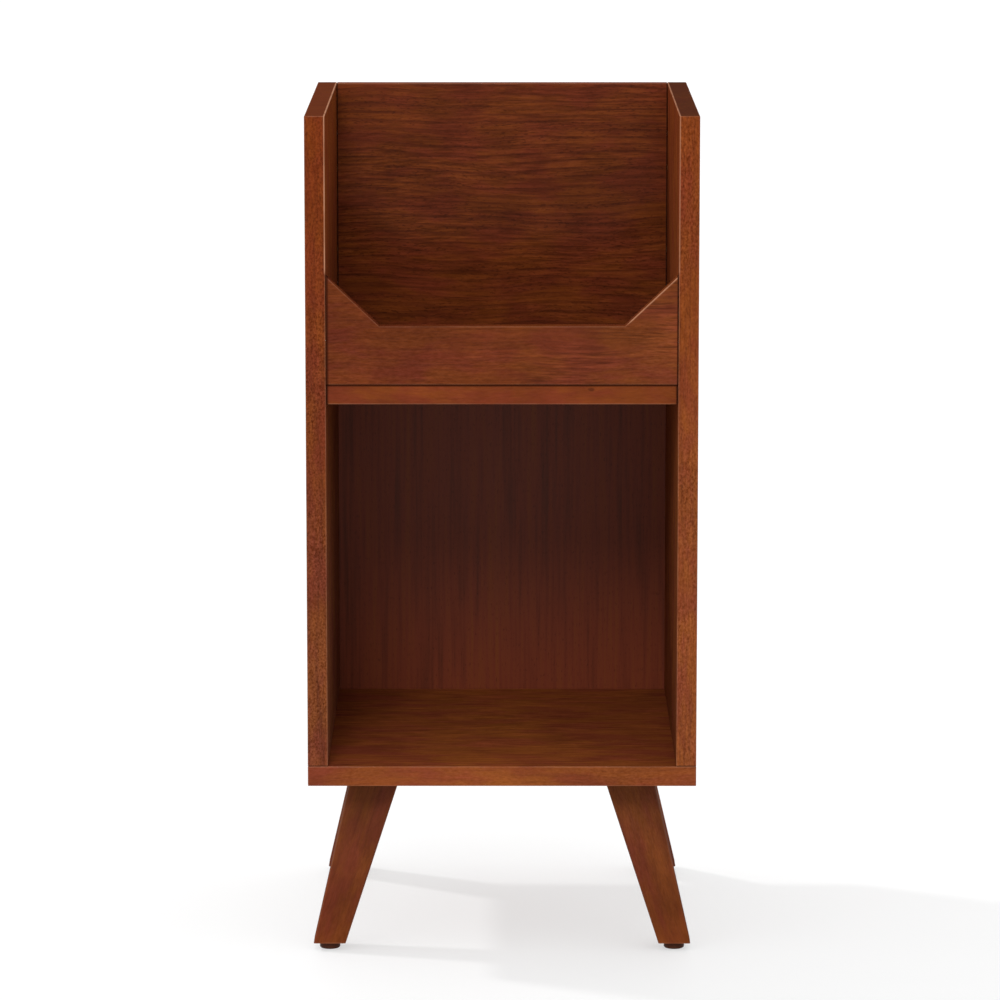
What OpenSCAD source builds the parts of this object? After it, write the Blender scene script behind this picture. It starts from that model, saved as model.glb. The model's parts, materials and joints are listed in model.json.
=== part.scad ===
// Record storage stand: an open-topped browsing bin over a cubby, on four splayed legs.
// The origin is on the floor under the middle of the cabinet. The front faces -Y, up is +Z.

/* [Cabinet] */
// Overall width across the two side panels
cabinet_w = 368; // [352:1:420]
// Overall depth of the side panels and the bottom panel
cabinet_d = 375; // [350:1:420]
// Thickness of the side panels, the bottom panel and the shelf
panel_t = 19; // [18:0.5:22]
// Radius of the eased edges on the wooden panels
ease_r = 1; // [0.5:0.25:1.5]
// Gap left at each end of a panel that is fitted between the sides
end_gap = 0.2; // [0.1:0.05:0.5]

/* [Cubby] */
// Clear height between the bottom panel and the shelf
cubby_h = 346; // [325:1:370]
// Distance of the shelf's front edge behind the cabinet front
shelf_setback = 4; // [2:0.5:6]

/* [Bin] */
// Height of the side panels above the shelf
bin_h = 252; // [200:1:300]
// Thickness of the panel across the front of the bin
bin_front_t = 15; // [15:0.5:19]
// Distance of the front panel's face behind the cabinet front
bin_front_setback = 1.5; // [0:0.5:3]
// Height of the front panel along its low middle
bin_front_low_h = 55; // [50:1:70]
// Height of the front panel where it meets the sides
bin_front_high_h = 102; // [95:1:130]
// Width of each sloping corner of the front panel
bin_front_cut_w = 50; // [40:1:70]
// Thickness of the panel across the back of the bin
bin_back_t = 15; // [15:0.5:19]

/* [Lower back] */
// Thickness of the thin board that closes the back of the cubby
back_t = 5; // [4:0.5:6]
// Width by which the thin board laps into the sides and the bottom panel
back_lap = 8; // [7:0.5:9]
// Clearance between the thin board and the sides and the panel above it
back_gap = 0.3; // [0.1:0.1:0.8]

/* [Legs] */
// Height of the cabinet's underside above the floor
base_z = 164; // [140:1:200]
// Width of each square leg at its top
leg_top_w = 47; // [42:0.5:52]
// Width of each square leg at its foot
leg_foot_w = 30.5; // [26:0.5:34]
// Distance of a front leg's centre from the cabinet's side, at the top of the leg
leg_top_inset_x = 63.6; // [50:0.1:70]
// Distance of a leg's centre from the cabinet's front or back, at the top of the leg
leg_top_inset_y = 70.7; // [60:0.1:80]
// Distance of a front leg's centre from the cabinet's side, at the foot
leg_foot_inset_x = 19.3; // [16:0.1:30]
// Distance of a leg's centre from the cabinet's front or back, at the foot
leg_foot_inset_y = 29.5; // [20:0.1:40]
// Distance by which the rear legs stand nearer to the middle than the front legs
rear_leg_shift = 4; // [0:0.5:10]
// Cut across the long corners of a leg, measured square to the cut
leg_corner_cut = 0.8; // [0.3:0.1:2]

/* [Leg fixings] */
// Diameter of the bolt that stands out of the top of each leg
hanger_d = 8; // [6:1:8]
// Length of that bolt inside the leg
hanger_in_leg = 34; // [25:1:40]
// Diameter of the threaded insert in the bottom panel
hanger_insert_d = 12; // [11:0.5:14]
// Length of the threaded insert in the bottom panel
hanger_insert_h = 15; // [12:0.5:15]
// Offset of the dowel that stops a leg turning, along X and along Y from the bolt
leg_dowel_offset = 12; // [11:0.5:14]

/* [Levelling feet] */
// Diameter of the foot pad
pad_d = 19.5; // [16:0.5:24]
// Height of the foot pad
pad_h = 6.7; // [5:0.1:10]
// Gap between the pad and the leg with the foot screwed right in
pad_gap = 0.3; // [0.2:0.1:1]
// Depth to which the stem is moulded into the pad
pad_socket_h = 4; // [3:0.5:4.5]
// Thread diameter of the stem
stem_d = 6; // [5:0.5:8]
// Length of the stem above the pad
stem_h = 24; // [20:1:28]
// Pitch of the stem's thread
stem_pitch = 1; // [0.8:0.1:1.25]
// Depth of the stem's thread
stem_thread_depth = 0.45; // [0.2:0.05:0.6]
// Outer diameter of the threaded insert in the leg's foot
foot_insert_d = 10; // [9.5:0.5:12]
// Length of the threaded insert in the leg's foot
foot_insert_h = 13; // [10:0.5:16]

/* [Panel screws] */
// Shank diameter of the screws that hold the bottom panel to the sides
base_screw_d = 7; // [5:0.5:7]
// Length of those screws, with the head
base_screw_h = 50; // [40:1:60]
// Head diameter of those screws
base_screw_head_d = 10; // [9:0.5:11]
// Distance of the outer screws from the cabinet's front and back
base_screw_edge = 45; // [35:1:60]
// Distance of the dowels between those screws from the cabinet's front and back
base_dowel_edge = 95; // [80:1:120]
// Thread diameter of the thin board's screws
back_screw_d = 3; // [2.5:0.5:3.5]
// Length of the thin board's screws
back_screw_h = 20; // [16:1:25]
// Screws down each side of the thin board
back_screws_side = 4; // [3:1:6]
// Screws along the top and along the bottom of the thin board
back_screws_row = 3; // [2:1:4]

/* [Dowels] */
// Diameter of the wooden dowels
dowel_d = 8; // [6:1:8]
// Length of the wooden dowels
dowel_h = 30; // [26:1:34]
// Length of a dowel that stands in the drilled face of a panel
dowel_in_face = 11; // [9:0.5:13]
// Diameter of the thin dowels under the bin front panel
thin_dowel_d = 6; // [5:0.5:6]
// Distance of the thin dowels from the middle of the cabinet
thin_dowel_x = 90; // [60:1:110]

/* [Cam fittings] */
// Diameter of the cam locks
cam_d = 15; // [12:0.5:15]
// Distance of a cam lock's centre from the end of its panel
cam_inset = 24; // [20:1:30]
// Thickness of the cap that covers a cam lock
cam_cap_h = 0.8; // [0.5:0.1:1.2]
// Diameter of the cam bolts
cam_bolt_d = 6; // [5:0.5:6]
// Length of a cam bolt inside the side panel
cam_bolt_in_side = 11; // [8:0.5:13]
// Distance of the shelf's cam locks from its front and back edges
shelf_cam_edge = 50; // [40:1:70]
// Distance of the shelf's dowels from its front and back edges
shelf_dowel_edge = 92; // [80:1:120]
// Height of the bin front panel's cam locks above the shelf
bin_front_cam_z = 40; // [36:1:44]
// Height of the bin front panel's lower dowels above the shelf
bin_front_dowel_z = 17; // [14:1:22]
// Height of the bin front panel's upper dowels above the shelf
bin_front_dowel_top_z = 64; // [58:1:68]
// Distance of the bin back panel's cam locks from its bottom and top edges
bin_back_cam_edge = 50; // [30:1:70]
// Distance of the bin back panel's dowels from its bottom and top edges
bin_back_dowel_edge = 85; // [80:1:95]

/* [Hidden] */
$fn = 48;

// Clearance round a dowel, screw or insert in its hole, and past the end of a blind hole
hole_fit = 0.05;
hole_end = 1;
// Clearance round a cam bolt's shaft in the bore that leads to its cam lock
cam_bore_fit = 0.8;
// Overrun of a cutting solid past the face that it opens
cut = 1;

// Levels of the panels
floor_top_z = base_z + panel_t;
shelf_z = floor_top_z + cubby_h;
bin_z = shelf_z + panel_t;
top_z = bin_z + bin_h;
leg_foot_z = pad_h + pad_gap;

// Widths and depths inside the cabinet
half_w = cabinet_w / 2;
half_d = cabinet_d / 2;
inner_half_w = half_w - panel_t;
fitted_half_w = inner_half_w - end_gap;
shelf_front_y = -half_d + shelf_setback;
shelf_back_y = half_d - back_t;
bin_front_y = -half_d + bin_front_setback;
bin_front_mid_y = bin_front_y + bin_front_t / 2;
bin_front_rear_y = bin_front_y + bin_front_t;
bin_back_mid_y = half_d - bin_back_t / 2;

// Middle of a front leg at its top and at its foot, as mirrored into the corner towards +X and +Y
leg_top_x = half_w - leg_top_inset_x;
leg_top_y = half_d - leg_top_inset_y;
leg_foot_x = half_w - leg_foot_inset_x;
leg_foot_y = half_d - leg_foot_inset_y;

// Small proportions of the fittings
screw_recess = 1;
screw_head_h = 3;
screw_socket_d = 4.6;
screw_socket_h = 2.4;
screw_tip_h = 4;
screw_tip_d = 2;
hanger_tip_h = 4;
dowel_tip_h = 1.5;
dowel_tip_cut = 1;
insert_edge = 0.6;
pad_edge = 1;
cam_head_d = 6.8;
cam_head_h = 3.4;
cam_neck_d = 4;
cam_neck_h = 6;
cam_wall = 1.2;
cam_slot_w = 1.8;
cam_slot_l = 8;
cam_slot_h = 1.6;
cam_fit = 0.1;
back_screw_head_d = 6;
back_screw_head_h = 2.2;
back_screw_tip_d = 0.6;
back_screw_slot_l = 3.4;
back_screw_slot_w = 0.9;
back_screw_slot_h = 1;

// Places of the fixings, listed from the same sizes as the panels that they join
base_screw_ys = [-half_d + base_screw_edge, 0, half_d - base_screw_edge];
base_dowel_ys = [-half_d + base_dowel_edge, half_d - base_dowel_edge];
shelf_cam_ys = [shelf_front_y + shelf_cam_edge, shelf_back_y - shelf_cam_edge];
shelf_dowel_ys = [shelf_front_y + shelf_dowel_edge, shelf_back_y - shelf_dowel_edge];
bin_front_dowel_zs = [bin_z + bin_front_dowel_z, bin_z + bin_front_dowel_top_z];
bin_back_cam_zs = [bin_z + bin_back_cam_edge, top_z - bin_back_cam_edge];
bin_back_dowel_zs = [bin_z + bin_back_dowel_edge, top_z - bin_back_dowel_edge];
thin_dowel_y = (shelf_front_y + bin_front_rear_y) / 2;
side_mid_x = half_w - panel_t / 2;
cam_x = fitted_half_w - cam_inset;
cam_reach = inner_half_w - cam_x;
back_screw_x = inner_half_w + back_lap / 2;
back_screw_low_z = floor_top_z - back_lap / 2;
back_screw_high_z = bin_z - panel_t / 2;
back_screw_step_z = (back_screw_high_z - floor_top_z) / (back_screws_side + 1);
back_screw_step_x = 2 * inner_half_w / (back_screws_row + 1);

wood = [0.47, 0.19, 0.09];
dark_board = [0.30, 0.13, 0.08];
pale_wood = [0.80, 0.66, 0.45];
steel = [0.72, 0.72, 0.74];
brass = [0.78, 0.62, 0.32];
dark_plastic = [0.10, 0.07, 0.06];
brown_plastic = [0.33, 0.15, 0.09];

// ---- Shared shapes ----

// Rectangle with round corners, one corner at the origin
module round_rect(w, h, r) {
    translate([r, 0]) square([w - 2 * r, h]);
    translate([0, r]) square([w, h - 2 * r]);
    for (x = [r, w - r], y = [r, h - r]) translate([x, y]) circle(r = r);
}

// Board with all its edges eased, from one corner to the other
module board(from, to) {
    size = to - from;
    translate(from) intersection() {
        linear_extrude(size.z) round_rect(size.x, size.y, ease_r);
        translate([0, size.y, 0]) rotate([90, 0, 0])
            linear_extrude(size.y) round_rect(size.x, size.z, ease_r);
        rotate([90, 0, 90]) linear_extrude(size.x) round_rect(size.y, size.z, ease_r);
    }
}

// Box from one corner to the other
module block(from, to) {
    translate(from) cube(to - from);
}

// Something made for the right-hand side, and its mirror image on the left
module both_sides() {
    children();
    mirror([1, 0, 0]) children();
}

// Something made for the corner towards +X and +Y, moved to the corner that sx and sy name
module at_corner(sx, sy) {
    mirror([sx < 0 ? 1 : 0, 0, 0]) mirror([0, sy < 0 ? 1 : 0, 0])
        translate([sy > 0 ? -rear_leg_shift : 0, 0, 0]) children();
}

// The same thing in all four corners
module all_corners() {
    for (sx = [-1, 1], sy = [-1, 1]) at_corner(sx, sy) children();
}

// Turns something that points along +Z so that it points along +X or along +Y
module along_x() {
    rotate([0, 90, 0]) children();
}
module along_y() {
    rotate([-90, 0, 0]) children();
}

// Dowel with chamfered ends, standing on the origin
module dowel_pin(d, h) {
    cylinder(h = dowel_tip_h, d1 = d - 2 * dowel_tip_cut, d2 = d);
    translate([0, 0, dowel_tip_h]) cylinder(h = h - 2 * dowel_tip_h, d = d);
    translate([0, 0, h - dowel_tip_h]) cylinder(h = dowel_tip_h, d1 = d, d2 = d - 2 * dowel_tip_cut);
}

// Hole for a dowel that starts at the origin, with room at both ends
module dowel_hole(d, h) {
    translate([0, 0, -hole_end]) cylinder(h = h + 2 * hole_end, d = d + 2 * hole_fit);
}

// Threaded insert, standing on the origin, with its bore right through
module threaded_insert(d, h, bore_d) {
    difference() {
        union() {
            cylinder(h = insert_edge, d1 = d - 2 * insert_edge, d2 = d);
            translate([0, 0, insert_edge]) cylinder(h = h - insert_edge, d = d);
        }
        translate([0, 0, -cut]) cylinder(h = h + 2 * cut, d = bore_d + 2 * hole_fit);
    }
}

// ---- Fittings at their places, each with the hole that it needs ----

// Screw up through the bottom panel into the lower end of a side panel
module base_screw_places() {
    for (y = base_screw_ys) translate([side_mid_x, y, base_z + screw_recess]) children();
}
module base_screw() {
    difference() {
        union() {
            cylinder(h = screw_head_h, d1 = base_screw_head_d, d2 = base_screw_d);
            cylinder(h = base_screw_h - screw_tip_h, d = base_screw_d);
            translate([0, 0, base_screw_h - screw_tip_h])
                cylinder(h = screw_tip_h, d1 = base_screw_d, d2 = screw_tip_d);
        }
        translate([0, 0, -cut]) cylinder(h = screw_socket_h + cut, d = screw_socket_d, $fn = 6);
    }
}
module base_screw_hole() {
    fit_d = 2 * hole_fit;
    translate([0, 0, -screw_recess - cut]) cylinder(h = screw_recess + cut, d = base_screw_head_d + fit_d);
    cylinder(h = screw_head_h, d1 = base_screw_head_d + fit_d, d2 = base_screw_d + fit_d);
    cylinder(h = base_screw_h + hole_end, d = base_screw_d + fit_d);
}

// Dowel between the bottom panel and a side panel
module base_dowel_places() {
    for (y = base_dowel_ys) translate([side_mid_x, y, floor_top_z - dowel_in_face]) children();
}

// Dowel between the end of a panel and the inner face of the side panel, pointing outwards
module end_dowel_place(y, z) {
    translate([inner_half_w + dowel_in_face - dowel_h, y, z]) along_x() children();
}
module shelf_dowel_places() {
    for (y = shelf_dowel_ys) end_dowel_place(y, shelf_z + panel_t / 2) children();
}
module bin_front_dowel_places() {
    for (z = bin_front_dowel_zs) end_dowel_place(bin_front_mid_y, z) children();
}
module bin_back_dowel_places() {
    for (z = bin_back_dowel_zs) end_dowel_place(bin_back_mid_y, z) children();
}

// Thin dowel between the shelf and the bin front panel
module thin_dowel_place() {
    translate([thin_dowel_x, thin_dowel_y, bin_z - dowel_in_face]) children();
}

// Cam fitting: the origin is the cam lock's centre on the bolt's axis, the bolt runs along +X,
// and the lock is put in from the panel's face at -Z, which lies half the panel's thickness away.
module shelf_cam_places() {
    for (y = shelf_cam_ys) translate([cam_x, y, shelf_z + panel_t / 2]) children();
}
module bin_front_cam_places() {
    translate([cam_x, bin_front_mid_y, bin_z + bin_front_cam_z]) rotate([90, 0, 0]) children();
}
module bin_back_cam_places() {
    for (z = bin_back_cam_zs) translate([cam_x, bin_back_mid_y, z]) rotate([90, 0, 0]) children();
}

// Depth of a cam lock in a panel of thickness t, from the underside of its cap
function cam_lock_h(t) = t / 2 + cam_head_d / 2 + cam_wall - cam_cap_h;

module cam_bolt() {
    along_x() {
        translate([0, 0, -cam_head_h / 2]) cylinder(h = cam_head_h, d = cam_head_d);
        cylinder(h = cam_neck_h, d = cam_neck_d);
        translate([0, 0, cam_neck_h]) cylinder(h = cam_reach + cam_bolt_in_side - cam_neck_h, d = cam_bolt_d);
    }
}
module cam_bolt_bore() {
    // Bore from the cam lock to the panel's end, and the pilot hole in the side panel
    along_x() cylinder(h = cam_reach, d = cam_bolt_d + 2 * cam_bore_fit);
    along_x() cylinder(h = cam_reach + cam_bolt_in_side + hole_end, d = cam_bolt_d + 2 * hole_fit);
}
module cam_lock(t) {
    bottom = -t / 2 + cam_cap_h;
    slot = [cam_slot_l, cam_slot_w, cam_slot_h + cut];
    difference() {
        translate([0, 0, bottom]) cylinder(h = cam_lock_h(t), d = cam_d - 2 * cam_fit);
        along_x() translate([0, 0, -cam_head_h]) cylinder(h = cam_d, d = cam_head_d + 2 * cam_fit);
        for (turn = [0, 90]) rotate([0, 0, turn])
            translate([-slot.x / 2, -slot.y / 2, bottom - cut]) cube(slot);
    }
}
module cam_pocket(t) {
    translate([0, 0, -t / 2 - cut]) cylinder(h = cam_lock_h(t) + cam_cap_h + cut, d = cam_d);
}
module cam_cap(t) {
    translate([0, 0, -t / 2]) cylinder(h = cam_cap_h, d = cam_d - 2 * cam_fit);
}

// Screw from behind through the thin board, its head flush with the cabinet's back
module back_screw_places() {
    for (k = [1 : back_screws_side], sx = [-1, 1])
        translate([sx * back_screw_x, half_d, floor_top_z + k * back_screw_step_z]) children();
    for (k = [1 : back_screws_row], z = [back_screw_low_z, back_screw_high_z])
        translate([k * back_screw_step_x - inner_half_w, half_d, z]) children();
}
module back_screw() {
    slot = [back_screw_slot_l, back_screw_slot_w, back_screw_slot_h + cut];
    along_y() difference() {
        union() {
            translate([0, 0, -back_screw_head_h])
                cylinder(h = back_screw_head_h, d1 = back_screw_d, d2 = back_screw_head_d);
            translate([0, 0, -back_screw_h + back_screw_d])
                cylinder(h = back_screw_h - back_screw_d, d = back_screw_d);
            translate([0, 0, -back_screw_h])
                cylinder(h = back_screw_d, d1 = back_screw_tip_d, d2 = back_screw_d);
        }
        for (turn = [0, 90]) rotate([0, 0, turn])
            translate([-slot.x / 2, -slot.y / 2, -back_screw_slot_h]) cube(slot);
    }
}
module back_screw_hole() {
    fit_d = 2 * hole_fit;
    along_y() {
        translate([0, 0, -back_screw_head_h])
            cylinder(h = back_screw_head_h, d1 = back_screw_d + fit_d, d2 = back_screw_head_d + fit_d);
        translate([0, 0, -back_screw_h - hole_end])
            cylinder(h = back_screw_h + hole_end + cut, d = back_screw_d + fit_d);
    }
}

// Bolt, dowel and inserts of one leg
module leg_bolt_place() {
    translate([leg_top_x, leg_top_y, base_z - hanger_in_leg]) children();
}
module leg_bolt_insert_place() {
    translate([leg_top_x, leg_top_y, base_z]) children();
}
module leg_dowel_place() {
    offset = [leg_dowel_offset, leg_dowel_offset, dowel_in_face - dowel_h];
    translate([leg_top_x, leg_top_y, base_z] + offset) children();
}
module foot_place() {
    translate([leg_foot_x, leg_foot_y, 0]) children();
}

// ---- Wooden panels ----

module bottom_panel() {
    color(wood) difference() {
        board([-half_w, -half_d, base_z], [half_w, half_d, floor_top_z]);
        // Rebate for the thin board along the rear top edge
        block([-inner_half_w - back_lap, shelf_back_y, floor_top_z - back_lap],
              [inner_half_w + back_lap, half_d + cut, floor_top_z + cut]);
        both_sides() {
            base_screw_places() base_screw_hole();
            base_dowel_places() dowel_hole(dowel_d, dowel_h);
        }
        all_corners() {
            leg_bolt_insert_place() translate([0, 0, -cut])
                cylinder(h = hanger_insert_h + cut, d = hanger_insert_d + 2 * hole_fit);
            leg_dowel_place() dowel_hole(dowel_d, dowel_h);
        }
        back_screw_places() back_screw_hole();
    }
}

// Side panel on the right; the left one is its mirror image
module side_panel() {
    difference() {
        board([inner_half_w, -half_d, floor_top_z], [half_w, half_d, top_z]);
        // Rebate for the thin board, stopped at the top of the shelf
        block([inner_half_w - cut, shelf_back_y, floor_top_z - cut],
              [inner_half_w + back_lap, half_d + cut, bin_z]);
        base_screw_places() base_screw_hole();
        base_dowel_places() dowel_hole(dowel_d, dowel_h);
        shelf_dowel_places() dowel_hole(dowel_d, dowel_h);
        bin_front_dowel_places() dowel_hole(dowel_d, dowel_h);
        bin_back_dowel_places() dowel_hole(dowel_d, dowel_h);
        shelf_cam_places() cam_bolt_bore();
        bin_front_cam_places() cam_bolt_bore();
        bin_back_cam_places() cam_bolt_bore();
        back_screw_places() back_screw_hole();
    }
}
module left_side_panel() {
    color(wood) mirror([1, 0, 0]) side_panel();
}
module right_side_panel() {
    color(wood) side_panel();
}

module bin_shelf() {
    color(wood) difference() {
        board([-fitted_half_w, shelf_front_y, shelf_z], [fitted_half_w, shelf_back_y, bin_z]);
        both_sides() {
            shelf_dowel_places() dowel_hole(dowel_d, dowel_h);
            shelf_cam_places() {
                cam_bolt_bore();
                cam_pocket(panel_t);
            }
            thin_dowel_place() dowel_hole(thin_dowel_d, dowel_h);
        }
        back_screw_places() back_screw_hole();
    }
}

// Outline of the bin front panel, seen from the front, with its lower edge on the shelf
module bin_front_outline() {
    low_half_w = fitted_half_w - bin_front_cut_w;
    polygon([
        [-fitted_half_w, 0],
        [fitted_half_w, 0],
        [fitted_half_w, bin_front_high_h],
        [low_half_w, bin_front_low_h],
        [-low_half_w, bin_front_low_h],
        [-fitted_half_w, bin_front_high_h]
    ]);
}
// Cutter that eases an edge of length l along +X, whose two faces lie along +Y and +Z, in flats
module edge_cutter(l) {
    flats = [for (a = [270 : -30 : 180]) [ease_r + ease_r * cos(a), ease_r + ease_r * sin(a)]];
    rotate([90, 0, 90]) linear_extrude(l)
        polygon(concat([[-cut, ease_r], [-cut, -cut], [ease_r, -cut]], flats));
}
// Front and rear cutters of one top edge of the bin front panel, from one point of its outline,
// lengthened at both ends so that neighbouring edges meet on a mitre
module bin_front_edge(x, z, turn, l, mitre) {
    translate([x, 0, bin_z + z]) rotate([0, -turn, 0]) {
        translate([-mitre, bin_front_y, 0]) mirror([0, 0, 1]) edge_cutter(l + 2 * mitre);
        translate([-mitre, bin_front_rear_y, 0]) rotate([180, 0, 0]) edge_cutter(l + 2 * mitre);
    }
}
module bin_front_panel() {
    low_half_w = fitted_half_w - bin_front_cut_w;
    rise = bin_front_high_h - bin_front_low_h;
    slope_l = norm([bin_front_cut_w, rise]);
    slope_turn = atan2(rise, bin_front_cut_w);
    mitre = ease_r * tan(slope_turn / 2);
    color(wood) difference() {
        translate([0, bin_front_rear_y, bin_z]) rotate([90, 0, 0])
            linear_extrude(bin_front_t) bin_front_outline();
        bin_front_edge(-low_half_w, bin_front_low_h, 0, 2 * low_half_w, mitre);
        both_sides() bin_front_edge(low_half_w, bin_front_low_h, slope_turn, slope_l + cut, mitre);
        // Lower front edge, and the upright front edges at both ends
        translate([-half_w, bin_front_y, bin_z]) edge_cutter(cabinet_w);
        both_sides() translate([fitted_half_w, bin_front_y, bin_z - cut]) rotate([0, -90, 0])
            edge_cutter(bin_front_high_h + 2 * cut);
        both_sides() {
            bin_front_dowel_places() dowel_hole(dowel_d, dowel_h);
            bin_front_cam_places() {
                cam_bolt_bore();
                cam_pocket(bin_front_t);
            }
            thin_dowel_place() dowel_hole(thin_dowel_d, dowel_h);
        }
    }
}

module bin_back_panel() {
    color(wood) difference() {
        board([-fitted_half_w, half_d - bin_back_t, bin_z], [fitted_half_w, half_d, top_z]);
        both_sides() {
            bin_back_dowel_places() dowel_hole(dowel_d, dowel_h);
            bin_back_cam_places() {
                cam_bolt_bore();
                cam_pocket(bin_back_t);
            }
        }
    }
}

module lower_back_panel() {
    board_half_w = inner_half_w + back_lap - back_gap;
    color(dark_board) difference() {
        block([-board_half_w, shelf_back_y, floor_top_z - back_lap],
              [board_half_w, half_d, bin_z - back_gap]);
        back_screw_places() back_screw_hole();
    }
}

// ---- Legs ----

// Tapered outline of a leg in an upright plane, from its middle at the foot and at the top
module leg_outline(foot_mid, top_mid, foot_half, top_half) {
    polygon([
        [foot_mid - foot_half, leg_foot_z],
        [foot_mid + foot_half, leg_foot_z],
        [top_mid + top_half, base_z],
        [top_mid - top_half, base_z]
    ]);
}
// The same outline turned about the upright axis and drawn out both ways past the leg
module leg_slab(turn, foot_mid, top_mid, foot_half, top_half) {
    rotate([0, 0, turn]) translate([0, cabinet_w, 0]) rotate([90, 0, 0]) linear_extrude(2 * cabinet_w)
        leg_outline(foot_mid, top_mid, foot_half, top_half);
}
// Square leg in the corner towards +X and +Y, leaning outwards both ways
module leg() {
    foot_half = leg_foot_w / 2;
    top_half = leg_top_w / 2;
    // Half of the width from corner to corner, less the cut
    foot_diagonal = foot_half * sqrt(2) - leg_corner_cut;
    top_diagonal = top_half * sqrt(2) - leg_corner_cut;
    difference() {
        intersection() {
            leg_slab(0, leg_foot_x, leg_top_x, foot_half, top_half);
            leg_slab(90, leg_foot_y, leg_top_y, foot_half, top_half);
            leg_slab(45, (leg_foot_x + leg_foot_y) / sqrt(2), (leg_top_x + leg_top_y) / sqrt(2),
                     foot_diagonal, top_diagonal);
            leg_slab(135, (leg_foot_y - leg_foot_x) / sqrt(2), (leg_top_y - leg_top_x) / sqrt(2),
                     foot_diagonal, top_diagonal);
        }
        leg_bolt_place() dowel_hole(hanger_d, hanger_in_leg);
        leg_dowel_place() dowel_hole(dowel_d, dowel_h);
        foot_place() translate([0, 0, leg_foot_z - cut])
            cylinder(h = foot_insert_h + cut, d = foot_insert_d + 2 * hole_fit);
        foot_place() cylinder(h = pad_h + stem_h + hole_end, d = stem_d + 2 * cut);
    }
}
module front_left_leg() {
    color(wood) at_corner(-1, -1) leg();
}
module front_right_leg() {
    color(wood) at_corner(1, -1) leg();
}
module rear_left_leg() {
    color(wood) at_corner(-1, 1) leg();
}
module rear_right_leg() {
    color(wood) at_corner(1, 1) leg();
}

module leg_bolts() {
    shank_h = hanger_in_leg + hanger_insert_h - hanger_tip_h;
    color(steel) all_corners() leg_bolt_place() {
        cylinder(h = hanger_tip_h, d1 = hanger_d / 2, d2 = hanger_d);
        translate([0, 0, hanger_tip_h]) cylinder(h = shank_h, d = hanger_d);
    }
}
module leg_bolt_inserts() {
    color(brass) all_corners() leg_bolt_insert_place()
        threaded_insert(hanger_insert_d, hanger_insert_h, hanger_d);
}
module leg_dowels() {
    color(pale_wood) all_corners() leg_dowel_place() dowel_pin(dowel_d, dowel_h);
}

// ---- Levelling feet ----

module foot_inserts() {
    color(brass) all_corners() foot_place() translate([0, 0, leg_foot_z])
        threaded_insert(foot_insert_d, foot_insert_h, stem_d);
}
// Round pad with softened edges, moulded round the lower end of its stem
module foot_pad() {
    pad_r = pad_d / 2;
    difference() {
        rotate_extrude() polygon([
            [0, 0],
            [pad_r - pad_edge, 0],
            [pad_r, pad_edge],
            [pad_r, pad_h - pad_edge],
            [pad_r - pad_edge, pad_h],
            [0, pad_h]
        ]);
        translate([0, 0, pad_h - pad_socket_h]) cylinder(h = pad_socket_h + cut, d = stem_d + 2 * hole_fit);
    }
}
// Threaded stem: a plain lower end in the pad and ring-shaped thread grooves above it
module foot_stem() {
    crest_r = stem_d / 2;
    root_r = crest_r - stem_thread_depth;
    plain_z = pad_h + pad_gap;
    turns = floor((stem_h - pad_gap - stem_pitch) / stem_pitch);
    thread = [
        for (k = [0 : turns - 1], step = [0, 0.5])
            [step == 0 ? crest_r : root_r, plain_z + (k + step) * stem_pitch]
    ];
    rotate_extrude() polygon(concat(
        [[0, pad_h - pad_socket_h], [crest_r, pad_h - pad_socket_h]],
        thread,
        [[crest_r, plain_z + turns * stem_pitch], [root_r, pad_h + stem_h], [0, pad_h + stem_h]]
    ));
}
module front_left_foot_pad() {
    color(dark_plastic) at_corner(-1, -1) foot_place() foot_pad();
}
module front_right_foot_pad() {
    color(dark_plastic) at_corner(1, -1) foot_place() foot_pad();
}
module rear_left_foot_pad() {
    color(dark_plastic) at_corner(-1, 1) foot_place() foot_pad();
}
module rear_right_foot_pad() {
    color(dark_plastic) at_corner(1, 1) foot_place() foot_pad();
}
module front_left_foot_stem() {
    color(steel) at_corner(-1, -1) foot_place() foot_stem();
}
module front_right_foot_stem() {
    color(steel) at_corner(1, -1) foot_place() foot_stem();
}
module rear_left_foot_stem() {
    color(steel) at_corner(-1, 1) foot_place() foot_stem();
}
module rear_right_foot_stem() {
    color(steel) at_corner(1, 1) foot_place() foot_stem();
}

// ---- Fasteners ----

module base_screws() {
    color(steel) both_sides() base_screw_places() base_screw();
}
module base_dowels() {
    color(pale_wood) both_sides() base_dowel_places() dowel_pin(dowel_d, dowel_h);
}
module shelf_cam_bolts() {
    color(steel) both_sides() shelf_cam_places() cam_bolt();
}
module shelf_cam_locks() {
    color(steel) both_sides() shelf_cam_places() cam_lock(panel_t);
}
module shelf_dowels() {
    color(pale_wood) both_sides() shelf_dowel_places() dowel_pin(dowel_d, dowel_h);
}
module bin_front_cam_bolts() {
    color(steel) both_sides() bin_front_cam_places() cam_bolt();
}
module bin_front_cam_locks() {
    color(steel) both_sides() bin_front_cam_places() cam_lock(bin_front_t);
}
module bin_front_dowels() {
    color(pale_wood) both_sides() bin_front_dowel_places() dowel_pin(dowel_d, dowel_h);
}
module bin_front_thin_dowels() {
    color(pale_wood) both_sides() thin_dowel_place() dowel_pin(thin_dowel_d, dowel_h);
}
module bin_back_cam_bolts() {
    color(steel) both_sides() bin_back_cam_places() cam_bolt();
}
module bin_back_cam_locks() {
    color(steel) both_sides() bin_back_cam_places() cam_lock(bin_back_t);
}
module bin_back_dowels() {
    color(pale_wood) both_sides() bin_back_dowel_places() dowel_pin(dowel_d, dowel_h);
}
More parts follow.
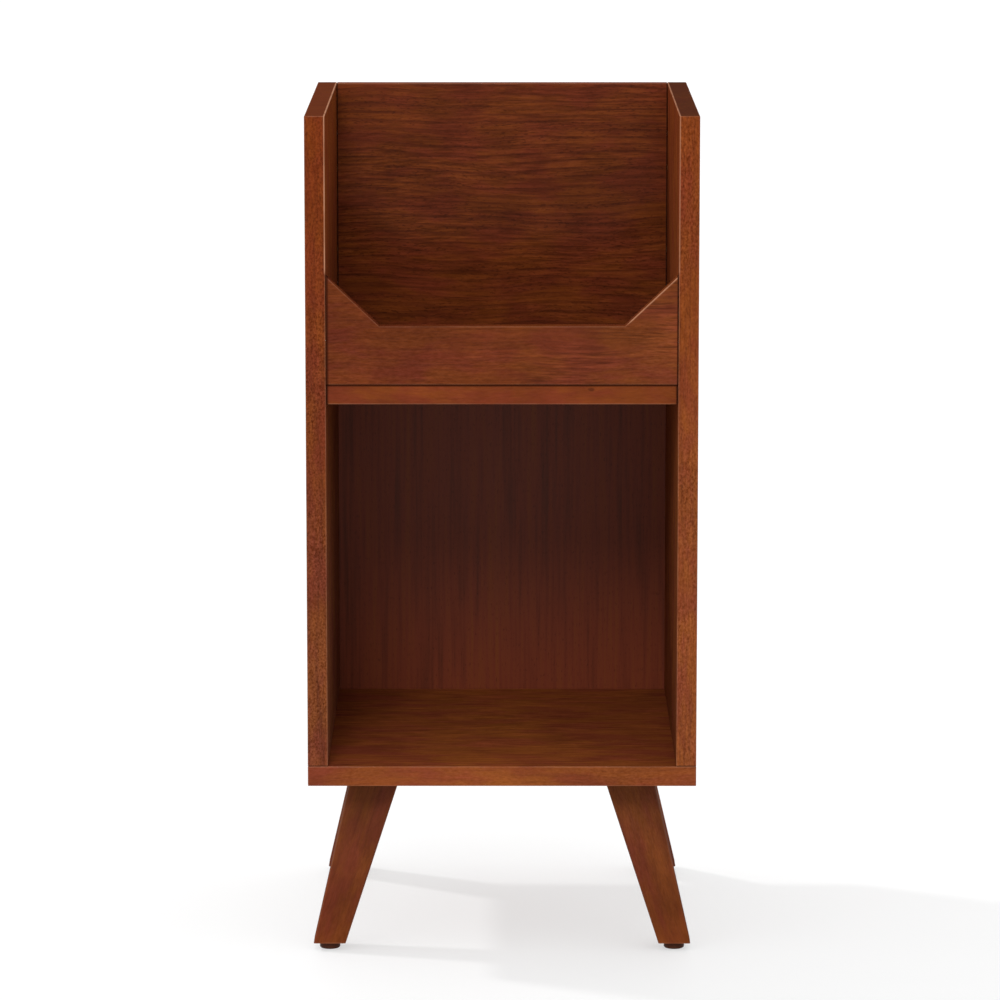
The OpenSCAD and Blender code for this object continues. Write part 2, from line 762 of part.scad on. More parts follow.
// Caps over the cam locks of the shelf, the bin front panel and the bin back panel
module cam_caps() {
    color(brown_plastic) both_sides() {
        shelf_cam_places() cam_cap(panel_t);
        bin_front_cam_places() cam_cap(bin_front_t);
        bin_back_cam_places() cam_cap(bin_back_t);
    }
}
module lower_back_screws() {
    color(steel) back_screw_places() back_screw();
}

bottom_panel();
left_side_panel();
right_side_panel();
bin_shelf();
bin_front_panel();
bin_back_panel();
lower_back_panel();
front_left_leg();
front_right_leg();
rear_left_leg();
rear_right_leg();
leg_bolts();
leg_bolt_inserts();
leg_dowels();
foot_inserts();
front_left_foot_pad();
front_right_foot_pad();
rear_left_foot_pad();
rear_right_foot_pad();
front_left_foot_stem();
front_right_foot_stem();
rear_left_foot_stem();
rear_right_foot_stem();
base_screws();
base_dowels();
shelf_cam_bolts();
shelf_cam_locks();
shelf_dowels();
bin_front_cam_bolts();
bin_front_cam_locks();
bin_front_dowels();
bin_front_thin_dowels();
bin_back_cam_bolts();
bin_back_cam_locks();
bin_back_dowels();
cam_caps();
lower_back_screws();
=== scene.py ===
"""Looks of the record storage stand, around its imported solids. Metres, +Z up, the front faces -Y."""

import json
import math

import bpy
from mathutils import Euler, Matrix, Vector


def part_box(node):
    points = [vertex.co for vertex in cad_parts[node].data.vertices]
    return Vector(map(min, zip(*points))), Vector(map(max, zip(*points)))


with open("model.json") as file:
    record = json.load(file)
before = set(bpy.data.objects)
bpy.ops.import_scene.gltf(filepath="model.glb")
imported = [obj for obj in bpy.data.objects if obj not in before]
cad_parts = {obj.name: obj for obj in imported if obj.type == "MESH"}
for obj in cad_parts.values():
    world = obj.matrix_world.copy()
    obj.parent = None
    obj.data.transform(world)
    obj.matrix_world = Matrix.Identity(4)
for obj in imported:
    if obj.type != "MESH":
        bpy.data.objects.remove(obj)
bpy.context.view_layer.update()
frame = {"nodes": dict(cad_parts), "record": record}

MM = 0.001
X, Y, Z = range(3)

# The bin front's outline: height of its low middle, width of each sloping corner
BIN_FRONT_LOW_H = 55 * MM
BIN_FRONT_CUT_W = 50 * MM
# How far off a leg's end a corner of its mesh may lie and still belong to that end
LEG_END_TOLERANCE = 0.05 * MM


# ---- Node graphs ----

class Graph:
    """A material's node tree, with short calls that make a node and join its inputs."""

    def __init__(self, name):
        self.material = bpy.data.materials.new(name)
        self.material.use_nodes = True
        self.tree = self.material.node_tree
        self.tree.nodes.clear()
        self.point = self.node("ShaderNodeTexCoord").outputs["Object"]

    def node(self, kind, inputs=None, **settings):
        made = self.tree.nodes.new(kind)
        for key, value in settings.items():
            setattr(made, key, value)
        for key, value in (inputs or {}).items():
            self.set(made.inputs[key], value)
        return made

    def set(self, socket, value):
        if isinstance(value, bpy.types.NodeSocket):
            self.tree.links.new(value, socket)
        elif socket.type == "RGBA" and len(value) == 3:
            socket.default_value = (*value, 1)
        else:
            socket.default_value = value

    def math(self, operation, a, b=0.0):
        return self.node("ShaderNodeMath", {0: a, 1: b}, operation=operation).outputs[0]

    def add(self, *terms):
        total = terms[0]
        for term in terms[1:]:
            total = self.math("ADD", total, term)
        return total

    def less(self, a, b):
        """a less b"""
        return self.math("SUBTRACT", a, b)

    def times(self, *factors):
        product = factors[0]
        for factor in factors[1:]:
            product = self.math("MULTIPLY", product, factor)
        return product

    def vector(self, operation, a, b=(0, 0, 0)):
        made = self.node("ShaderNodeVectorMath", {0: a, 1: b}, operation=operation)
        return made.outputs["Value" if operation == "LENGTH" else "Vector"]

    def split(self, point):
        return list(self.node("ShaderNodeSeparateXYZ", {0: point}).outputs)

    def join(self, x, y, z):
        return self.node("ShaderNodeCombineXYZ", {0: x, 1: y, 2: z}).outputs[0]

    def noise(self, point, scale, detail=2.0, roughness=0.5, output="Fac", offset=None):
        """Noise whose grains are 1 / scale long on each axis. An offset gives another pattern."""
        if offset is not None:
            point = self.vector("ADD", point, offset)
        scaled = self.vector("MULTIPLY", point, scale)
        made = self.node("ShaderNodeTexNoise", {"Vector": scaled, "Scale": 1.0, "Detail": detail,
                                                "Roughness": roughness})
        return made.outputs[output]

    def step(self, value, low, high, bottom=0.0, top=1.0):
        """A value between low and high, spread from bottom to top and kept between them."""
        inputs = {0: value, 1: low, 2: high, 3: bottom, 4: top}
        return self.node("ShaderNodeMapRange", inputs, interpolation_type="SMOOTHSTEP").outputs[0]

    def ramp(self, value, stops):
        """A colour ramp of (position, colour) stops."""
        made = self.node("ShaderNodeValToRGB", {"Fac": value})
        band = made.color_ramp
        while len(band.elements) < len(stops):
            band.elements.new(1.0)
        for element, (position, colour) in zip(band.elements, stops):
            element.position = position
            element.color = (*colour, 1)
        return made.outputs["Color"]

    def mix(self, factor, a, b, blend="MIX"):
        made = self.node("ShaderNodeMix", data_type="RGBA", blend_type=blend)
        for key, value in ((0, factor), (6, a), (7, b)):
            self.set(made.inputs[key], value)
        return made.outputs[2]

    def stained(self, colour, tint, strength=None):
        """A colour multiplied by a tint, as far as the strength goes where there is one."""
        product = self.mix(1.0, colour, tint, "MULTIPLY")
        return product if strength is None else self.mix(strength, colour, product)

    def bump(self, height, distance, strength, normal=None):
        inputs = {"Height": height, "Distance": distance, "Strength": strength}
        if normal is not None:
            inputs["Normal"] = normal
        return self.node("ShaderNodeBump", inputs).outputs[0]

    def facing(self, axis):
        """1 on faces that look along an axis, either way, and 0 on the others."""
        normal = self.split(self.node("ShaderNodeNewGeometry").outputs["True Normal"])
        return self.step(self.math("ABSOLUTE", normal[axis]), 0.6, 0.95)

    def finish(self, base_color, roughness, normal, **constants):
        inputs = {"Base Color": base_color, "Roughness": roughness, "Normal": normal}
        inputs.update({key.replace("_", " "): value for key, value in constants.items()})
        shader = self.node("ShaderNodeBsdfPrincipled", inputs)
        out = self.node("ShaderNodeOutputMaterial")
        self.tree.links.new(shader.outputs[0], out.inputs[0])
        return self.material


# ---- Places on a piece ----

def box_depths(g, node):
    """How deep a point lies behind the two faces of a box-shaped node on each axis."""
    lo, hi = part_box(node)
    depths = []
    for axis, value in enumerate(g.split(g.point)):
        middle, half = (lo[axis] + hi[axis]) / 2, (hi[axis] - lo[axis]) / 2
        depths.append(g.less(half, g.math("ABSOLUTE", g.less(value, middle))))
    return depths


def notch_depth(g, node):
    """How deep a point lies behind the bin front's top edge, with its two sloping corners."""
    lo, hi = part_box(node)
    x, y, z = g.split(g.point)
    low_z, low_x = lo.z + BIN_FRONT_LOW_H, hi.x - BIN_FRONT_CUT_W
    rise = hi.z - low_z
    slope = math.hypot(rise, BIN_FRONT_CUT_W)
    below = g.less(low_z, z)
    out = g.less(g.math("ABSOLUTE", x), low_x)
    sloping = g.add(g.times(out, rise / slope), g.times(below, BIN_FRONT_CUT_W / slope))
    return g.math("MAXIMUM", below, sloping)


def panel_depths(g, node):
    """The same as box_depths for a panel, with the bin front's notched top edge."""
    depths = box_depths(g, node)
    if node == "bin_front_panel":
        above_base = g.less(g.split(g.point)[Z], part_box(node)[0].z)
        depths[Z] = g.math("MINIMUM", notch_depth(g, node), above_base)
    return depths


def near_arris(g, depths, width):
    """1 on a piece's arrises, falling to 0 within a width. An arris is where two depths are small."""
    a, b, c = depths
    second = g.math("MAXIMUM", g.math("MINIMUM", a, b), g.math("MINIMUM", g.math("MAXIMUM", a, b), c))
    return g.step(second, 0.25 * width, width, 1.0, 0.0)


def notch_arris(g, node):
    """Distance from the front arris of the bin front's top edge, in its right half."""
    x, y, z = g.split(g.point)
    left_half = g.step(x, 0.0, 1 * MM, 1.0, 0.0)
    face = g.less(y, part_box(node)[0].y)
    return g.math("MAXIMUM", g.math("MAXIMUM", notch_depth(g, node), left_half), face)


def inner_face(g, node):
    """Distance from a side panel's face towards the middle of the stand."""
    lo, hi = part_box(node)
    x = g.split(g.point)[X]
    return g.less(hi.x, x) if hi.x < 0 else g.less(x, lo.x)


def opening_arris(g, node):
    """Distance from a side panel's inner arrises, at its front and at its top."""
    lo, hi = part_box(node)
    x, y, z = g.split(g.point)
    return g.math("MAXIMUM", inner_face(g, node), g.math("MINIMUM", g.less(y, lo.y), g.less(hi.z, z)))


def inside(g, node, margin):
    """1 in a node's box grown by a margin, 0 outside it."""
    lo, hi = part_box(node)
    away = g.vector("ABSOLUTE", g.vector("SUBTRACT", g.point, (lo + hi) / 2))
    room = g.split(g.vector("SUBTRACT", (hi - lo) / 2 + Vector((margin,) * 3), away))
    return g.math("GREATER_THAN", g.math("MINIMUM", g.math("MINIMUM", room[0], room[1]), room[2]), 0.0)


def leg_end(node, at_top):
    """Middle and half width of a leg's end, from its own corners."""
    points = [vertex.co for vertex in frame["nodes"][node].data.vertices]
    level = (max if at_top else min)(point.z for point in points)
    ends = [point for point in points if abs(point.z - level) < LEG_END_TOLERANCE]
    lo = Vector([min(point[axis] for point in ends) for axis in range(3)])
    hi = Vector([max(point[axis] for point in ends) for axis in range(3)])
    return (lo + hi) / 2, (hi.x - lo.x) / 2


# ---- Stained wood ----

# Tones of the stain, linear: orange and red early wood, darker late wood, pores, and a painted highlight
ORANGE = (0.177, 0.0405, 0.0085)
RED = (0.156, 0.0290, 0.0105)
LATE = (0.092, 0.0190, 0.0065)
PORE = (0.036, 0.0080, 0.0035)
HIGHLIGHT_TONE = (0.420, 0.2000, 0.1150)
END_GRAIN = (0.080, 0.0200, 0.0075)
# Width of the painted highlight along an arris, width of the brighter painted highlight line, and the
# height over which that line sets in
ARRIS_HIGHLIGHT_W = 1.3 * MM
HIGHLIGHT_LINE_W = 1.5 * MM
HIGHLIGHT_LINE_START_H = 6 * MM
# Gap between two panels that counts as their joint, and depth behind a face that still counts as it
JOINT_GAP = 0.3 * MM
FACE_SKIN = 0.1 * MM


def wandering(g, p, knot):
    """The point, moved so that the grain wanders by a few millimetres and bends round a knot."""
    sway = g.vector("SUBTRACT", g.noise(p, (7, 7, 4.5), output="Color"), (0.5, 0.5, 0.5))
    p = g.vector("ADD", p, g.vector("MULTIPLY", sway, (22 * MM, 22 * MM, 0)))
    if knot is not None:
        p = g.vector("ADD", p, g.vector("MULTIPLY", knot["pull"], (4 * MM, 4 * MM, 0)))
    return p


def late_wood(g, p, pith, ring):
    """1 in the dark part of each growth ring. The pith lies outside the piece."""
    radius = g.vector("LENGTH", g.vector("MULTIPLY", g.vector("ADD", p, (*pith, 0)), (1, 1, 0.02)))
    phase = g.math("FRACT", g.math("DIVIDE", radius, ring))
    return g.times(g.step(phase, 0.35, 0.92), g.step(phase, 0.93, 1.0, 1.0, 0.0))


def ground_tone(g, p, late, streaks, bands, figure, clouds, broad):
    """Early and late wood, fibre streaks, broad bands, and clouds in the stain."""
    hue = g.noise(p, (42, 42, 15), 3.0, 0.6, offset=(3, 5, 7))
    patches = g.noise(p, (26, 26, 15), 3.0, 0.6, offset=(9, 2, 4))
    early = g.mix(g.step(hue, 0.38, 0.64), ORANGE, RED)
    darker = g.add(g.times(late, g.add(0.22 * figure, g.times(broad, 0.25))),
                   g.step(streaks, 0.40, 0.78, 0.0, 0.45 * figure),
                   g.step(bands, 0.45, 0.80, 0.0, 0.40 * figure))
    colour = g.mix(g.math("MINIMUM", darker, 0.85), early, LATE)
    dim, lit = 1 - 0.16 * clouds, 1 + 0.16 * clouds
    return g.stained(colour, g.ramp(patches, [(0.32, (dim,) * 3), (0.68, (lit,) * 3)]))


def short_fibres(g, p, colour, mottle, broad):
    """Short fibres that took more or less stain: red where dark, dusty where light.

    They are stronger in some places, and weaker on broad faces.
    """
    contrast, length = mottle
    fibres = g.noise(p, (580, 580, 1 / length), 2.0, 0.68, offset=(1, 8, 2))
    dark, light = [(tone ** 0.75, tone, tone ** 1.7) for tone in (1 - contrast, 1 + contrast)]
    strength = g.step(g.noise(p, (16, 16, 9)), 0.36, 0.64, 0.45, 1.0)
    strength = g.times(strength, g.add(1.0, g.times(broad, -0.55)))
    return g.stained(colour, g.ramp(fibres, [(0.30, dark), (0.70, light)]), strength)


def long_fibres(g, p, colour, strength):
    """Long crisp fibres."""
    fibres = g.noise(p, (430, 430, 30), 2.0, 0.6, offset=(4, 4, 4))
    return g.stained(colour, g.ramp(fibres, [(0.36, (0.64,) * 3), (0.64, (1.40, 1.44, 1.50))]), strength)


def open_pores(g, p, bands):
    """Short dark flecks and hairs along the grain, in drifts."""
    drift = g.step(bands, 0.35, 0.62, 0.35, 1.0)
    flecks = g.step(g.noise(p, (700, 700, 190), 1.0), 0.56, 0.68)
    hairs = g.step(g.noise(p, (1500, 1500, 75), 1.0), 0.58, 0.76)
    return g.times(g.math("MAXIMUM", flecks, g.times(hairs, 0.7)), drift)


def lacquered(g, p, colour, streaks, pits, facing_grain, joint_shade):
    """Semi-gloss lacquer. End grain drinks it too, and none shines in the joints."""
    roughness = g.add(0.34, g.times(pits, 0.18), g.times(streaks, 0.14))
    normal = g.bump(g.less(g.times(streaks, 0.4), pits), 0.10 * MM, 0.45)
    normal = g.bump(g.noise(p, (70, 70, 40)), 0.30 * MM, 0.30, normal)
    coat = g.step(facing_grain, 0.0, 1.0, 0.06, 0.015)
    for mask in joint_shade:
        coat = g.times(coat, g.less(1.0, mask))
    return g.finish(colour, roughness, normal, Specular_IOR_Level=0.0, Coat_Weight=coat,
                    Coat_Roughness=0.14)


def wood(g, p, depths, facing_grain, shade=1.0, pores=0.5, figure=1.0, clouds=1.0, mottle=(0.30, 4 * MM),
         lines=None, broad=0.0, end_grain=END_GRAIN, arris_highlight=0.5, wear_and_highlight=None, joint_shade=(), tint=None, knot=None,
         pith=(110 * MM, 60 * MM), ring=5 * MM):
    """Stained, lacquered wood.

    p is the point as (across, across, along) the grain, and depths how deep it lies behind the
    faces. shade and tint multiply the colour. pores, figure, clouds and arris_highlight are strengths,
    the last of a painted highlight along the arrises, and mottle is (contrast, length) of the short
    fibres. facing_grain, lines, broad and wear_and_highlight are masks, the last of a painted
    highlight line, joint_shade is a list of masks of painted shade in the joints, and knot is what
    knot_masks gives. pith is how far off the middle of the growth rings lies, both ways across the
    grain, and ring their spacing.
    """
    p = wandering(g, p, knot)
    streaks = g.noise(p, (620, 620, 26), 3.0, 0.65)
    bands = g.noise(p, (110, 110, 7))
    pits = open_pores(g, p, bands)

    colour = ground_tone(g, p, late_wood(g, p, pith, ring), streaks, bands, figure, clouds, broad)
    colour = short_fibres(g, p, colour, mottle, broad)
    if lines is not None:
        colour = long_fibres(g, p, colour, lines)
    colour = g.mix(g.times(pits, pores), colour, PORE)
    # End grain drinks more stain
    colour = g.mix(g.times(facing_grain, 0.75), colour, end_grain)
    if knot is not None:
        colour = g.mix(knot["mask"], colour, PORE)
    if tint is not None:
        colour = g.stained(colour, tint)
    colour = g.stained(colour, (shade,) * 3)

    # Painted highlight along the arrises and in brighter lines by the openings, and painted shade in the
    # joints
    patchy = g.step(g.noise(p, (55, 55, 22), 2.0, 0.6), 0.32, 0.60, 0.35, 1.0)
    colour = g.mix(g.times(near_arris(g, depths, ARRIS_HIGHLIGHT_W), patchy, arris_highlight), colour, HIGHLIGHT_TONE)
    if wear_and_highlight is not None:
        colour = g.mix(wear_and_highlight, colour, HIGHLIGHT_TONE)
    for mask in joint_shade:
        colour = g.mix(g.times(mask, 0.85), colour, PORE)
    return lacquered(g, p, colour, streaks, pits, facing_grain, joint_shade)


def knot_masks(g, centre, size):
    """Where a knot is dark, and how far it pulls the grain round it."""
    apart = g.vector("DIVIDE", g.vector("SUBTRACT", g.point, centre), size)
    distance = g.add(g.vector("LENGTH", apart), g.times(g.noise(g.point, (300,) * 3), 0.8))
    return {"mask": g.step(distance, 0.7, 1.35, 0.55, 0.0),
            "pull": g.join(0, g.step(distance, 0.5, 4.0, 1.0, 0.0), 0)}


def highlight_line(g, distance, start, strength):
    """A painted highlight line near an arris, above a height, in patches."""
    arris = g.step(distance, 0.4 * HIGHLIGHT_LINE_W, HIGHLIGHT_LINE_W, strength, 0.0)
    patchy = g.step(g.noise(g.point, (90, 90, 28)), 0.30, 0.55, 0.6, 1.0)
    return g.times(arris, g.step(g.split(g.point)[Z], start, start + HIGHLIGHT_LINE_START_H), patchy)


def painted_joint_shade(g, node, covers, joints):
    """Masks of painted shade: a panel's parts that others cover, and its ends at the joints."""
    lo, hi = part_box(node)
    masks = [inside(g, cover, JOINT_GAP) for cover in covers]
    for axis, at_high, width in joints:
        place = g.split(g.point)[axis]
        inwards = g.less(hi[axis], place) if at_high else g.less(place, lo[axis])
        masks.append(g.step(inwards, 0.5 * width, width, 1.0, 0.0))
    return masks


def stain_tint(g, node, axis, colours):
    """A tint that runs through evenly spaced colours from a node's low end to its high end."""
    lo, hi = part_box(node)
    stops = [(rank / (len(colours) - 1), colour) for rank, colour in enumerate(colours)]
    return g.ramp(g.step(g.split(g.point)[axis], lo[axis], hi[axis]), stops)


def panel_wood(node, along, offset, knot=None, joints=(), covers=(), wear_and_highlight=None, tint=None, within=None,
               lines=None, **looks):
    """Wood for a box-shaped panel, its grain along one axis, with its own place in the tree.

    joints are (axis, at its high end, width) for the ends where shade is painted in the joints, and
    covers are the panels that stand against this one, along which shade is painted too.
    wear_and_highlight is (distance from the arrises, height where it starts, strength) of a painted
    highlight line. tint is (axis, colours from its low end to its high end) for a stain that changes,
    within a colour that the face towards the middle takes as painted reflection, and lines
    (strength at the left, strength at the right) of crisp fibres. The rest goes to wood.
    """
    g = Graph(node + "_wood")
    lo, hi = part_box(node)
    x, y, z = g.split(g.point)
    p = g.vector("ADD", g.join(*{"x": (y, z, x), "z": (x, y, z)}[along]), offset)
    if knot is not None:
        knot = knot_masks(g, *knot)
    # A painted highlight line along an arris
    if wear_and_highlight is not None:
        distance, start, strength = wear_and_highlight
        wear_and_highlight = highlight_line(g, distance(g, node), start, strength)
    if tint is not None:
        tint = stain_tint(g, node, tint[0], tint[1:])
    # Painted reflection: the face towards the middle takes a paler colour
    if within is not None:
        on_face = g.step(inner_face(g, node), 0.5 * FACE_SKIN, FACE_SKIN, 1.0, 0.0)
        tint = g.stained(tint, within, on_face)
    if lines is not None:
        broad = 0.0
        places = g.step(g.noise(g.point, (12, 12, 45)), 0.40, 0.60, 0.15, 1.0)
        lines = g.times(g.step(x, lo.x, hi.x, *lines), places)
    else:
        # The broad faces show the veneer's long grain, the edges only its short fibres
        broad = g.facing(min(range(3), key=lambda axis: hi[axis] - lo[axis]))
        lines = g.times(broad, g.step(g.noise(p, (14, 14, 2)), 0.35, 0.65, 0.25, 0.75))
    # Painted shade in the joints and where other panels stand against this one
    return wood(g, p, panel_depths(g, node), g.facing("xyz".index(along)), lines=lines, broad=broad,
                wear_and_highlight=wear_and_highlight, joint_shade=painted_joint_shade(g, node, covers, joints), tint=tint, knot=knot, **looks)


def leg_wood(node, offset):
    """Wood for a leg, its grain along the leg's middle line, paler and greyer towards the top: painted
    shade.
    """
    g = Graph(node + "_wood")
    x, y, z = g.split(g.point)
    foot, foot_half = leg_end(node, False)
    top, top_half = leg_end(node, True)
    above_foot = g.less(z, foot.z)
    rise = g.math("DIVIDE", above_foot, top.z - foot.z)
    u = g.less(x, g.add(foot.x, g.times(rise, top.x - foot.x)))
    v = g.less(y, g.add(foot.y, g.times(rise, top.y - foot.y)))
    half = g.add(foot_half, g.times(rise, top_half - foot_half))
    depths = [g.less(half, g.math("ABSOLUTE", u)), g.less(half, g.math("ABSOLUTE", v)), above_foot]
    # Towards the top the tint paints the greyer colour of the shade under the cabinet
    tint = g.ramp(rise, [(0.0, (1.0, 1.04, 1.10)), (1.0, (0.93, 1.20, 1.55))])
    p = g.vector("ADD", g.join(u, v, z), offset)
    # Painted highlight on the arrises
    return wood(g, p, depths, g.facing(Z), shade=0.76, pores=0.15, figure=0.6, clouds=1.6,
                mottle=(0.16, 6 * MM), arris_highlight=0.15, tint=tint, pith=(50 * MM, 40 * MM), ring=6 * MM)


# ---- Other materials ----

def scaled(colour, factor):
    return tuple(channel * factor for channel in colour)


def plastic(name, colour, pebbles, roughness, shine):
    """Moulded plastic with a fine texture, of so many pebbles to the metre."""
    g = Graph(name)
    pebble = g.noise(g.point, (pebbles,) * 3, 3.0, 0.6)
    wear_and_highlight = g.noise(g.point, (60,) * 3)
    tone = g.add(g.times(pebble, 0.5), g.times(wear_and_highlight, 0.5))
    tint = g.ramp(tone, [(0.3, scaled(colour, 0.75)), (0.7, scaled(colour, 1.35))])
    rough = g.add(roughness - 0.05, g.times(wear_and_highlight, 0.12))
    return g.finish(tint, rough, g.bump(pebble, 0.08 * MM, 0.5), Specular_IOR_Level=shine)


def metal(name, colour):
    """Plated metal with fine turning marks and a little tarnish."""
    g = Graph(name)
    marks = g.noise(g.point, (300, 300, 4000))
    tarnish = g.noise(g.point, (120,) * 3, 3.0, 0.6)
    tint = g.mix(g.step(tarnish, 0.42, 0.75, 0.0, 0.8), colour, scaled(colour, 0.62))
    rough = g.add(0.22, g.times(marks, 0.12), g.times(tarnish, 0.14))
    return g.finish(tint, rough, g.bump(marks, 0.03 * MM, 0.4), Metallic=1.0)


def thin_board(node):
    """Stained veneer on the face towards the cubby, bare brown fibreboard behind."""
    g = Graph(node + "_board")
    streaks = g.noise(g.point, (300, 300, 9), 3.0, 0.6)
    bands = g.noise(g.point, (55, 55, 2.4))
    flecks = g.step(g.noise(g.point, (800, 800, 190), 1.0), 0.60, 0.72)
    tone = g.add(g.times(streaks, 0.6), g.times(bands, 0.5))
    veneer = g.ramp(tone, [(0.36, LATE), (0.55, RED), (0.78, ORANGE)])
    veneer = g.mix(g.times(flecks, 0.4), veneer, PORE)
    chips = g.noise(g.point, (420,) * 3, 4.0, 0.7)
    patches = g.noise(g.point, (14,) * 3)
    browns = [(0.32, (0.062, 0.026, 0.012)), (0.50, (0.100, 0.045, 0.022)), (0.70, (0.150, 0.074, 0.038))]
    fibreboard = g.ramp(g.add(g.times(chips, 0.7), g.times(patches, 0.3)), browns)
    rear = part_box(node)[1].y - 0.5 * MM
    behind = g.math("GREATER_THAN", g.split(g.point)[Y], rear)
    rough = g.add(0.42, g.times(behind, 0.28), g.times(streaks, 0.08))
    height = g.add(g.times(chips, behind), g.times(flecks, -0.5))
    return g.finish(g.mix(behind, veneer, fibreboard), rough, g.bump(height, 0.12 * MM, 0.5),
                    Specular_IOR_Level=0.15)


def beech(name):
    """Plain pale beech."""
    g = Graph(name)
    streaks = g.noise(g.point, (600, 600, 60), 3.0)
    flecks = g.step(g.noise(g.point, (1500, 1500, 400), 1.0), 0.60, 0.72)
    tint = g.ramp(streaks, [(0.3, (0.42, 0.26, 0.13)), (0.7, (0.60, 0.42, 0.24))])
    tint = g.mix(g.times(flecks, 0.4), tint, (0.28, 0.15, 0.07))
    return g.finish(tint, g.add(0.5, g.times(streaks, 0.2)), g.bump(streaks, 0.1 * MM, 0.5))


# ---- Dressing the solids ----

def panel_looks():
    """What panel_wood is told about each panel."""
    shelf_lo, shelf_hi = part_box("bin_shelf")
    knot_centre = (83.5 * MM, shelf_lo.y, shelf_hi.z - 5 * MM)
    knot_size = (4.5 * MM, 14 * MM, 2.6 * MM)
    front_lo, front_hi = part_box("bin_front_panel")
    # Ends of a panel, as (axis, at its high end)
    left, right, base, top = (X, False), (X, True), (Z, False), (Z, True)
    # Painted shade along the foot, and where the shelf, bin front and bin back stand against the side
    side = dict(along="z", joints=[(*base, 1.2 * MM)],
                covers=("bin_shelf", "bin_front_panel", "bin_back_panel"))
    return {
        "bottom_panel": dict(
            # Painted highlight on the arrises
            along="x", offset=(0.31, 0.12, 0.83), shade=1.13, pores=0.15, figure=0.6, clouds=0.7,
            mottle=(0.28, 4 * MM), arris_highlight=0.20,
            tint=(X, (0.98, 1.06, 1.25), (1.18, 1.42, 1.27), (0.98, 1.08, 1.17))),
        "left_side_panel": dict(
            side, offset=(0.42, 0.77, 0.15), shade=0.88, pores=0.35, clouds=0.55, mottle=(0.60, 2.4 * MM),
            # Painted highlights on the arrises and above the bin front, and painted reflection on the inner
            # face
            arris_highlight=0.22, wear_and_highlight=(opening_arris, front_hi.z, 0.9), within=(1.22, 1.50, 2.0),
            tint=(Z, (1.08, 1.27, 1.42), (1.01, 1.02, 0.90), (1.09, 0.92, 0.58))),
        "right_side_panel": dict(
            side, offset=(0.93, 0.21, 0.64), shade=1.14, pores=0.30, clouds=0.6, mottle=(0.52, 3.0 * MM),
            # Painted highlights, painted reflection on the inner face, and a top whose end grain is darker
            # partly as painted shade
            arris_highlight=0.25, wear_and_highlight=(opening_arris, front_hi.z, 0.4), within=(1.0, 1.08, 1.3),
            end_grain=(0.027, 0.0078, 0.0030),
            tint=(Z, (1.09, 1.26, 1.24), (1.11, 1.25, 1.07), (0.90, 0.83, 0.62))),
        "bin_shelf": dict(
            # Painted highlight on the arrises, and painted shade at both ends and along its top under the
            # bin front
            along="x", offset=(0.55, 0.38, 0.07), shade=0.94, pores=0.12, figure=0.5, arris_highlight=0.35,
            mottle=(0.14, 8 * MM), knot=(knot_centre, knot_size),
            joints=[(*left, 2.6 * MM), (*right, 2.4 * MM), (*top, 2.8 * MM)]),
        "bin_front_panel": dict(
            # Painted highlight on the arrises and on the right sloping corner, and painted shade at both
            # ends
            along="x", offset=(0.17, 0.66, 0.29), shade=0.76, pores=0.18, figure=0.7, arris_highlight=0.14,
            mottle=(0.26, 7 * MM), lines=(0.20, 0.90), joints=[(*left, 3.0 * MM), (*right, 1.6 * MM)],
            wear_and_highlight=(notch_arris, front_lo.z + BIN_FRONT_LOW_H, 0.6),
            tint=(X, (0.96, 0.92, 1.05), (0.96, 0.96, 1.02), (1.05, 1.12, 1.25))),
        "bin_back_panel": dict(
            # Painted highlight on the arrises, and painted shade at both ends and along its foot
            along="x", offset=(0.71, 0.05, 0.48), shade=0.85, mottle=(0.28, 6 * MM), arris_highlight=0.2,
            joints=[(*left, 1.4 * MM), (*right, 1.4 * MM), (*base, 1.4 * MM)]),
    }


def dress(node, material):
    mesh = frame["nodes"][node].data
    mesh.materials.clear()
    mesh.materials.append(material)


def dress_all():
    """A finish for every node."""
    for node, looks in panel_looks().items():
        dress(node, panel_wood(node, **looks))
    for turn, corner in enumerate(("front_left", "front_right", "rear_left", "rear_right")):
        leg = corner + "_leg"
        # Each leg is cut from its own place in the tree
        dress(leg, leg_wood(leg, (0.27 * turn, 0.61 * turn, 0.44 * turn)))
    finishes = {
        "foot_plastic": plastic("foot_pad_plastic", (0.048, 0.012, 0.0045), pebbles=1100, roughness=0.48,
                                shine=0.1),
        "zinc_steel": metal("zinc_plate", (0.62, 0.62, 0.63)),
        "brass": metal("insert_brass", (0.62, 0.44, 0.17)),
        "cap_plastic": plastic("cap_plastic", (0.14, 0.030, 0.009), pebbles=700, roughness=0.45, shine=0.3),
        "dowel_wood": beech("beech_dowel"),
        "back_board": thin_board("lower_back_panel"),
    }
    for row in frame["record"]["subparts"]:
        if row["material_slot"] in finishes:
            dress(row["node"], finishes[row["material_slot"]])


# ---- Studio ----

# The photograph's viewpoint: straight in front and a little above the stand's top
CAMERA_PLACE = (0.001, -5.0, 1.2362)
CAMERA_PITCH_DOWN = 9.407
CAMERA_TURN_LEFT = 0.0347
SENSOR_W_MM = 36.0
LENS_MM = 187.0
# Width of the floor, which is also as far as the camera sees
FLOOR_W = 60


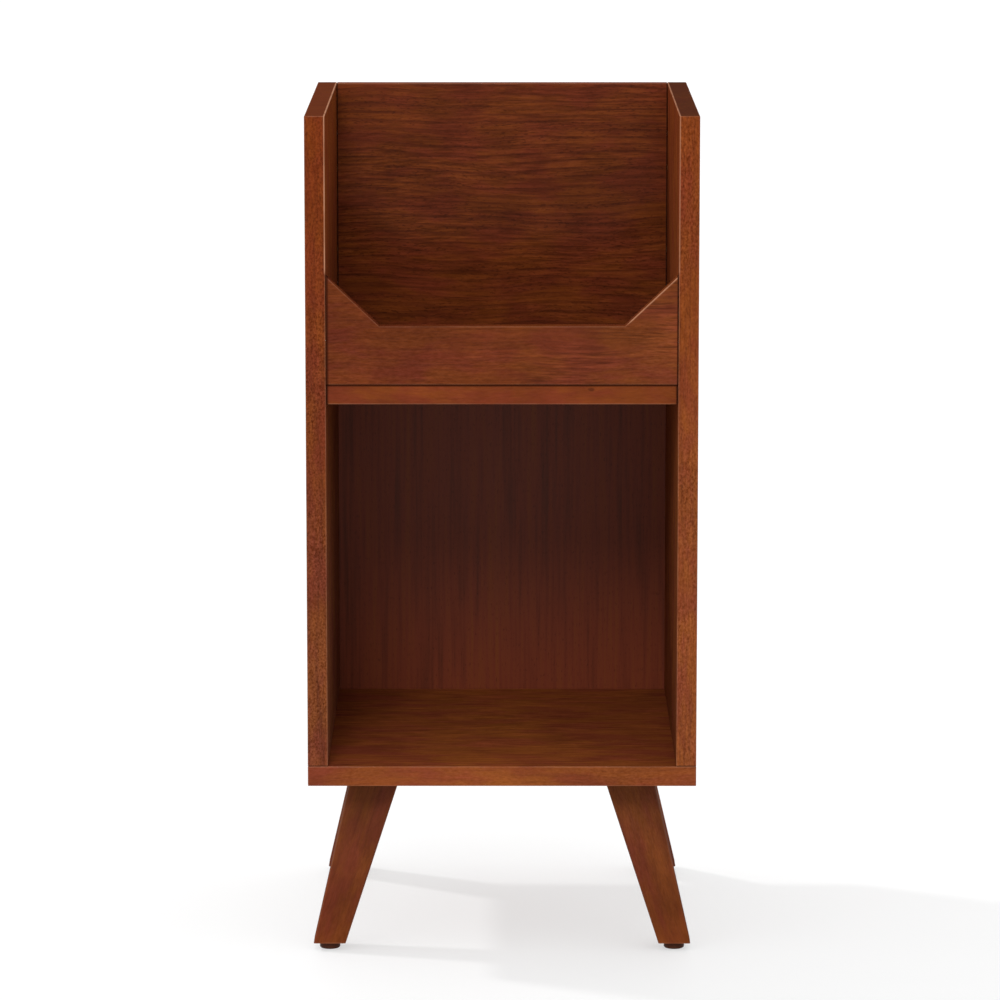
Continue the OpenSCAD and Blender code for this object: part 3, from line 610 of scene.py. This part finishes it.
def camera():
    data = bpy.data.cameras.new("camera")
    cam = bpy.data.objects.new("camera", data)
    bpy.context.scene.collection.objects.link(cam)
    data.sensor_width = SENSOR_W_MM
    data.lens = LENS_MM
    data.clip_end = FLOOR_W
    cam.location = CAMERA_PLACE
    cam.rotation_euler = Euler((math.radians(90 - CAMERA_PITCH_DOWN), 0, math.radians(CAMERA_TURN_LEFT)))
    bpy.context.scene.camera = cam


def sun(name, towards, strength, softness):
    """Light without falloff that travels along a direction. softness is its disc in degrees."""
    data = bpy.data.lights.new(name, "SUN")
    data.energy = strength
    data.angle = math.radians(softness)
    light = bpy.data.objects.new(name, data)
    bpy.context.scene.collection.objects.link(light)
    light.rotation_euler = Vector(towards).to_track_quat("-Z", "Y").to_euler()
    return light


def pale_floor():
    """A plain floor, faintly lit from within so that it stays white."""
    g = Graph("floor_white")
    mottle = g.noise(g.point, (2, 2, 2))
    tint = g.ramp(mottle, [(0.3, (0.41, 0.41, 0.41)), (0.7, (0.43, 0.43, 0.43))])
    material = g.finish(tint, g.add(0.55, g.times(mottle, 0.1)), g.bump(mottle, 0.01 * MM, 0.1),
                        Specular_IOR_Level=0.2, Emission_Color=(0.988, 0.998, 1.0), Emission_Strength=0.55)
    bpy.ops.mesh.primitive_plane_add(size=FLOOR_W, location=(0, 0, 0))
    floor = bpy.context.object
    floor.name = "floor"
    floor.data.materials.append(material)
    return floor


def studio():
    """Pale floor, white surroundings, a soft key from the left behind, and a front fill."""
    floor = pale_floor()
    world = bpy.data.worlds.new("white_room")
    bpy.context.scene.world = world
    world.use_nodes = True
    background = world.node_tree.nodes["Background"]
    background.inputs["Color"].default_value = (1, 1, 1, 1)
    background.inputs["Strength"].default_value = 1.0

    sun("key", towards=(0.68, -0.36, -0.64), strength=1.1, softness=5)
    front_fill = sun("front_fill", towards=(0.10, 0.80, -0.58), strength=1.32, softness=18)
    # The fill passes the floor by, so that it throws no second shadow there
    unlit = bpy.data.collections.new("not_lit_by_front_fill")
    unlit.objects.link(floor)
    unlit.collection_objects[0].light_linking.link_state = "EXCLUDE"
    front_fill.light_linking.receiver_collection = unlit
    bpy.context.scene.view_settings.view_transform = "Standard"


dress_all()
camera()
studio()
